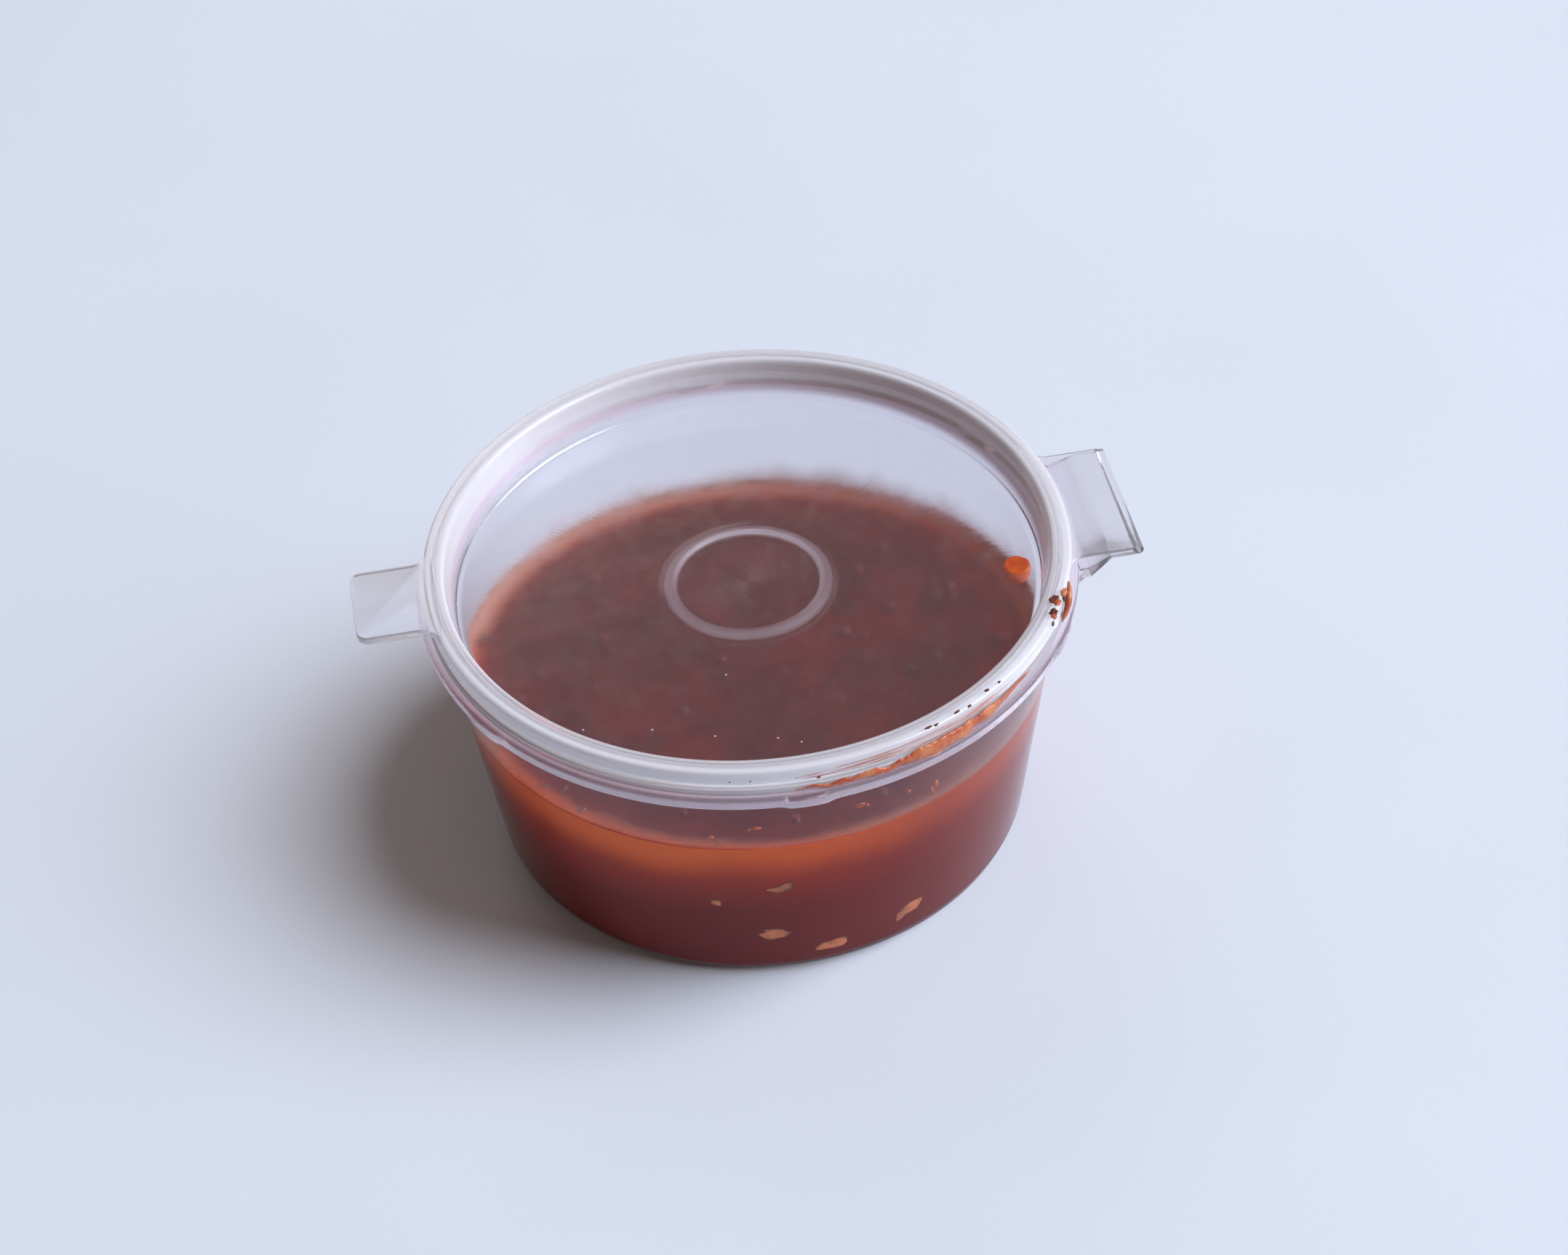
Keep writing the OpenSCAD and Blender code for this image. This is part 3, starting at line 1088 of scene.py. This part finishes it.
class SAUCEPOT_OT_splashes(bpy.types.Operator):
    """Makes the small splashes of sauce on the inside of the wall"""

    bl_idname = "saucepot.splashes"
    bl_label = "Splashes"

    # Azimuth, height, half width and half height of each.
    SPLASHES = [
        (-99.0, 23.0, 0.45, 0.22),
        (-100.3, 22.8, 0.2, 0.15),
        (-107.3, 21.6, 0.3, 0.2),
        (-79.9, 23.8, 0.55, 0.3),
        (-78.6, 23.5, 0.3, 0.2),
        (-64.0, 22.3, 0.25, 0.5),
        (-64.8, 21.6, 0.28, 0.6),
        (-70.2, 23.2, 0.25, 0.2),
    ]

    def execute(self, context):
        bm = bmesh.new()
        for i, (az, z, wide, high) in enumerate(self.SPLASHES):
            centre = polar(az, wall_in(z) - 0.02, z)
            lump(bm, centre, (0.12, wide, high), 0.3, i * 2.3)
        heal(bm)
        wet = bit_shader(
            "Splashed sauce", (0.62, 0.15, 0.04), (0.35, 0.05, 0.015), 600.0, rough=0.2
        )
        piece("wall_splashes", bm, wet, "pot")
        return {"FINISHED"}


class SAUCEPOT_OT_rim_sauce(bpy.types.Operator):
    """Makes the sauce on the rim: the smear under the skirt, the drip and the crumbs"""

    bl_idname = "saucepot.rim_sauce"
    bl_label = "Sauce on the rim"

    # Strands: azimuth, radius, height, half depth and half height at each stop.
    SMEAR = [
        (-92.0, 31.45, 29.60, 0.02, 0.05),
        (-88.0, 31.50, 29.58, 0.08, 0.16),
        (-84.5, 31.50, 29.52, 0.14, 0.34),
        (-82.0, 31.50, 29.62, 0.12, 0.22),
        (-78.0, 31.50, 29.60, 0.20, 0.42),
        (-75.5, 31.50, 29.52, 0.18, 0.34),
        (-72.0, 31.50, 29.66, 0.20, 0.38),
        (-70.3, 31.52, 29.80, 0.30, 0.86),
        (-67.0, 31.55, 29.72, 0.32, 0.98),
        (-63.5, 31.55, 29.80, 0.34, 0.78),
        (-60.0, 31.55, 29.75, 0.30, 0.86),
        (-58.5, 31.50, 29.88, 0.22, 0.46),
        (-55.0, 31.50, 29.92, 0.25, 0.58),
        (-51.5, 31.50, 30.12, 0.16, 0.30),
        (-47.0, 31.45, 30.20, 0.10, 0.16),
        (-43.0, 31.42, 30.25, 0.02, 0.05),
    ]
    SKIRT_FILM = [
        (-92.0, 31.33, 30.9, 0.02, 0.05),
        (-84.0, 31.33, 31.0, 0.03, 0.42),
        (-66.0, 31.33, 31.05, 0.03, 0.52),
        (-55.0, 31.33, 31.05, 0.03, 0.48),
        (-46.0, 31.33, 31.0, 0.02, 0.05),
    ]
    DRIP = [
        (-22.6, 31.35, 31.7, 0.10, 0.12),
        (-24.0, 31.55, 31.3, 0.30, 0.40),
        (-25.6, 31.65, 30.8, 0.34, 0.50),
        (-27.2, 31.60, 30.1, 0.24, 0.40),
        (-28.6, 31.45, 29.6, 0.04, 0.10),
    ]
    # Thin lines: first and last azimuth, height.
    LINES = [(-91, -84, 30.65), (-86, -75, 30.9), (-80, -74, 30.6)]
    # Blobs: azimuth, radius, height and half sizes of each.
    DRIP_BLOBS = [
        (-28.5, 30.9, 31.84, (0.35, 0.5, 0.16)),
        (-25.6, 31.15, 31.76, (0.35, 0.6, 0.22)),
        (-32.1, 31.1, 31.76, (0.3, 0.35, 0.22)),
    ]
    CRUMBS = [
        (-28.0, 30.6, 31.88, (0.42, 0.55, 0.12)),
        (-31.2, 30.95, 31.84, (0.40, 0.52, 0.16)),
        (-33.4, 31.25, 31.5, (0.18, 0.3, 0.2)),
        (-26.8, 31.3, 31.6, (0.2, 0.25, 0.2)),
        (-88.0, 31.35, 30.55, (0.06, 0.18, 0.1)),
        (-67.7, 30.95, 31.90, (0.12, 0.36, 0.1)),
        (-66.2, 31.05, 31.86, (0.1, 0.24, 0.12)),
        (-61.6, 30.95, 31.90, (0.12, 0.34, 0.1)),
        (-59.0, 31.10, 31.84, (0.1, 0.22, 0.12)),
        (-54.3, 30.85, 31.90, (0.16, 0.24, 0.1)),
        (-51.4, 31.00, 31.88, (0.1, 0.18, 0.1)),
    ]

    def execute(self, context):
        wet = bit_shader(
            "Squeezed sauce",
            (0.70, 0.25, 0.10),
            (0.52, 0.09, 0.03),
            520.0,
            rough=0.25,
            subsurface=0.3,
        )
        bm = bmesh.new()
        strand(bm, self.SMEAR, sides=16, steps_per_deg=4)
        for vert in bm.verts:
            sway = noise.fractal(vert.co * 700, 0.7, 2.0, 4)
            vert.co.z += 0.24 * sway * MM
        heal(bm)
        piece("flange_smear", bm, wet, "pot")

        bm = bmesh.new()
        strand(bm, self.SKIRT_FILM)
        heal(bm)
        piece("skirt_film", bm, stain_shader("Skirt stain"), "lid")

        bm = bmesh.new()
        strand(bm, self.DRIP, steps_per_deg=4)
        self.blobs(bm, self.DRIP_BLOBS, 11)
        piece("rim_drip", bm, wet, "lid")

        bm = bmesh.new()
        for az0, az1, z in self.LINES:
            middle = ((az0 + az1) / 2, SKIRT_R + 0.01, z + 0.05, 0.035, 0.04)
            ends = (az0, SKIRT_R, z, 0.01, 0.01), (az1, SKIRT_R, z + 0.1, 0.01, 0.01)
            strand(bm, [ends[0], middle, ends[1]], sides=6)
        heal(bm)
        thin = bit_shader("Thin red lines", (0.35, 0.03, 0.02), (0.5, 0.08, 0.03), 900.0)
        piece("skirt_lines", bm, thin, "lid")

        bm = bmesh.new()
        self.blobs(bm, self.CRUMBS, 31)
        dried = bit_shader(
            "Dried sauce", (0.10, 0.022, 0.012), (0.20, 0.05, 0.02), 800.0, rough=0.6
        )
        piece("dried_crumbs", bm, dried, "lid")
        return {"FINISHED"}

    def blobs(self, bm, table, seed):
        """Adds the blobs of a table and keeps bm within the pot's full height."""
        for i, (az, r, z, size) in enumerate(table):
            lump(bm, polar(az, r, z), size, 0.5, seed + i)
        for vert in bm.verts:
            vert.co.z = min(vert.co.z, POT_TOP * MM)
        heal(bm)


class SAUCEPOT_OT_lid_marks(bpy.types.Operator):
    """Makes the drop of sauce that hangs under the lid and the specks on the lid"""

    bl_idname = "saucepot.lid_marks"
    bl_label = "Drop and specks"

    DROP_TOP = PANEL_BOTTOM + 0.12  # a little inside the panel
    # Azimuth and radius of each pale speck on the panel.
    PALE = [
        (-123.6, 22.3),
        (-108.1, 21.8),
        (-92.9, 22.3),
        (-87.8, 23.3),
        (-137.4, 25.3),
        (-109, 13.5),
    ]
    # Azimuth and height of each dark speck on the skirt.
    DARK = [(-102.7, 30.95), (-99.3, 30.95)]

    def execute(self, context):
        bm = bmesh.new()
        centre = polar(-7.6, 26.2, PANEL_BOTTOM - 0.45)
        for vert in lump(bm, centre, (1.4, 1.5, 1.45), 0.1, 5):
            vert.co.z = min(vert.co.z, self.DROP_TOP * MM)
        heal(bm)
        drop = bit_shader(
            "Hanging drop",
            (0.95, 0.17, 0.004),
            (0.80, 0.08, 0.004),
            350.0,
            rough=0.15,
            subsurface=0.4,
        )
        piece("lid_drop", bm, drop, "lid")

        bm = bmesh.new()
        for i, (az, r) in enumerate(self.PALE):
            lump(bm, polar(az, r, PANEL_TOP), (0.11, 0.1, 0.03), 0.2, i, detail=2)
        heal(bm)
        # Small pale specks on top of the panel.
        pale_speck_material = bit_shader("Pale specks", (0.75, 0.72, 0.72), (0.6, 0.58, 0.6), 900.0)
        piece("pale_specks", bm, pale_speck_material, "lid")

        bm = bmesh.new()
        for i, (az, z) in enumerate(self.DARK):
            lump(bm, polar(az, SKIRT_R, z), (0.03, 0.09, 0.08), 0.2, i, detail=2)
        heal(bm)
        black = bit_shader("Black specks", (0.02, 0.018, 0.02), (0.04, 0.03, 0.03), 900.0)
        piece("black_specks", bm, black, "lid")
        return {"FINISHED"}


# --- stage


class SAUCEPOT_OT_stage(bpy.types.Operator):
    """Makes the floor, the soft lights and the camera"""

    bl_idname = "saucepot.stage"
    bl_label = "Stage"

    FLOOR_SIZE = 3.0  # half width in metres
    FLOOR_DIM = 0.97  # brightness of its darker patches
    SKY_STRENGTH = 0.13
    # Degrees by which the camera is swung from looking at the middle of the pot's underside.
    PAN = -0.5616
    TILT = 2.6326
    ROLL = 4.005

    def execute(self, context):
        stage = context.scene.stage_settings
        scene = context.scene
        scene.view_settings.view_transform = "Standard"
        bm = bmesh.new()
        bmesh.ops.create_grid(bm, x_segments=1, y_segments=1, size=self.FLOOR_SIZE)
        floor = piece("floor", bm, self.floor_shader(stage))
        self.world(scene, stage)
        self.lamp(
            "window",
            azimuth=-11,
            elevation=43,
            distance=2.4,
            size=1.85,
            power=71.0,
            colour=(0.90, 0.97, 1.09),
        )
        self.lamp(
            "back",
            azimuth=100,
            elevation=25,
            distance=1.2,
            size=0.74,
            power=1.5,
            colour=(1.02, 0.95, 0.93),
        )
        self.camera(scene, stage)
        return {"FINISHED"}

    def floor_shader(self, stage):
        mat, tree, bsdf, coords = blank("Floor", Roughness=0.6)
        patch = cloud(tree, coords, 14.0, 3.0, 0.5, 0.3, 0.7)
        dim = tuple(c * self.FLOOR_DIM for c in stage.floor)
        colour = blended(tree, patch, tuple(stage.floor), dim)
        tree.links.new(colour, bsdf.inputs["Base Color"])
        return mat

    def world(self, scene, stage):
        world = bpy.data.worlds.new("Soft sky")
        scene.world = world
        world.use_nodes = True
        back = world.node_tree.nodes["Background"]
        back.inputs["Color"].default_value = (*stage.sky, 1)
        back.inputs["Strength"].default_value = self.SKY_STRENGTH

    def lamp(self, name, azimuth, elevation, distance, size, power, colour):
        """Adds a round soft lamp that faces the pot, at a distance in metres."""
        place = distance * heading(math.radians(azimuth), math.radians(elevation))
        data = bpy.data.lights.new(name, "AREA")
        data.shape = "DISK"
        data.size = size
        data.energy = power
        data.color = colour
        obj = bpy.data.objects.new(name, data)
        bpy.context.scene.collection.objects.link(obj)
        obj.location = place
        obj.rotation_euler = place.to_track_quat("Z", "Y").to_euler()

    def camera(self, scene, stage):
        az = stage.azimuth
        place = stage.distance * heading(az, stage.elevation)
        ahead = -place.normalized()
        right = Vector((-math.sin(az), math.cos(az), 0))
        axes = {"right": right, "up": right.cross(ahead), "ahead": ahead}
        for about, degrees in (("up", self.PAN), ("right", self.TILT), ("ahead", self.ROLL)):
            swing = Matrix.Rotation(math.radians(degrees), 3, axes[about])
            axes = {key: swing @ axis for key, axis in axes.items()}
        data = bpy.data.cameras.new("Camera")
        data.lens = stage.lens
        data.sensor_width = 36
        data.sensor_fit = "HORIZONTAL"
        data.clip_start = 0.005
        obj = bpy.data.objects.new("Camera", data)
        scene.collection.objects.link(obj)
        facing = Matrix((axes["right"], axes["up"], -axes["ahead"])).transposed()
        obj.matrix_world = Matrix.Translation(place) @ facing.to_4x4()
        scene.camera = obj


class SAUCEPOT_PT_panel(bpy.types.Panel):
    """Lists the settings and the pieces of the pot"""

    bl_label = "Sauce Pot"
    bl_idname = "SAUCEPOT_PT_panel"
    bl_space_type = "VIEW_3D"
    bl_region_type = "UI"
    bl_category = "Sauce Pot"

    def draw(self, context):
        scene = context.scene
        for group in (scene.pot_settings, scene.sauce_settings, scene.stage_settings):
            box = self.layout.box()
            for key in group.bl_rna.properties.keys():
                if key not in ("rna_type", "name"):
                    box.prop(group, key)
        for step in STEPS:
            self.layout.operator(step.bl_idname)


STEPS = (
    SAUCEPOT_OT_cup,
    SAUCEPOT_OT_lid,
    SAUCEPOT_OT_sauce,
    SAUCEPOT_OT_wall_film,
    SAUCEPOT_OT_bits,
    SAUCEPOT_OT_splashes,
    SAUCEPOT_OT_rim_sauce,
    SAUCEPOT_OT_lid_marks,
    SAUCEPOT_OT_stage,
)
GROUPS = (
    ("pot_settings", PotSettings),
    ("sauce_settings", SauceSettings),
    ("stage_settings", StageSettings),
)


def register():
    for name, group in GROUPS:
        bpy.utils.register_class(group)
        setattr(bpy.types.Scene, name, PointerProperty(type=group))
    for cls in (*STEPS, SAUCEPOT_PT_panel):
        bpy.utils.register_class(cls)


def unregister():
    for cls in (SAUCEPOT_PT_panel, *reversed(STEPS)):
        bpy.utils.unregister_class(cls)
    for name, group in reversed(GROUPS):
        delattr(bpy.types.Scene, name)
        bpy.utils.unregister_class(group)


def main():
    register()
    noise.seed_set(bpy.context.scene.stage_settings.seed)
    for step in STEPS:
        family, name = step.bl_idname.split(".")
        getattr(getattr(bpy.ops, family), name)()


if __name__ == "__main__":
    main()
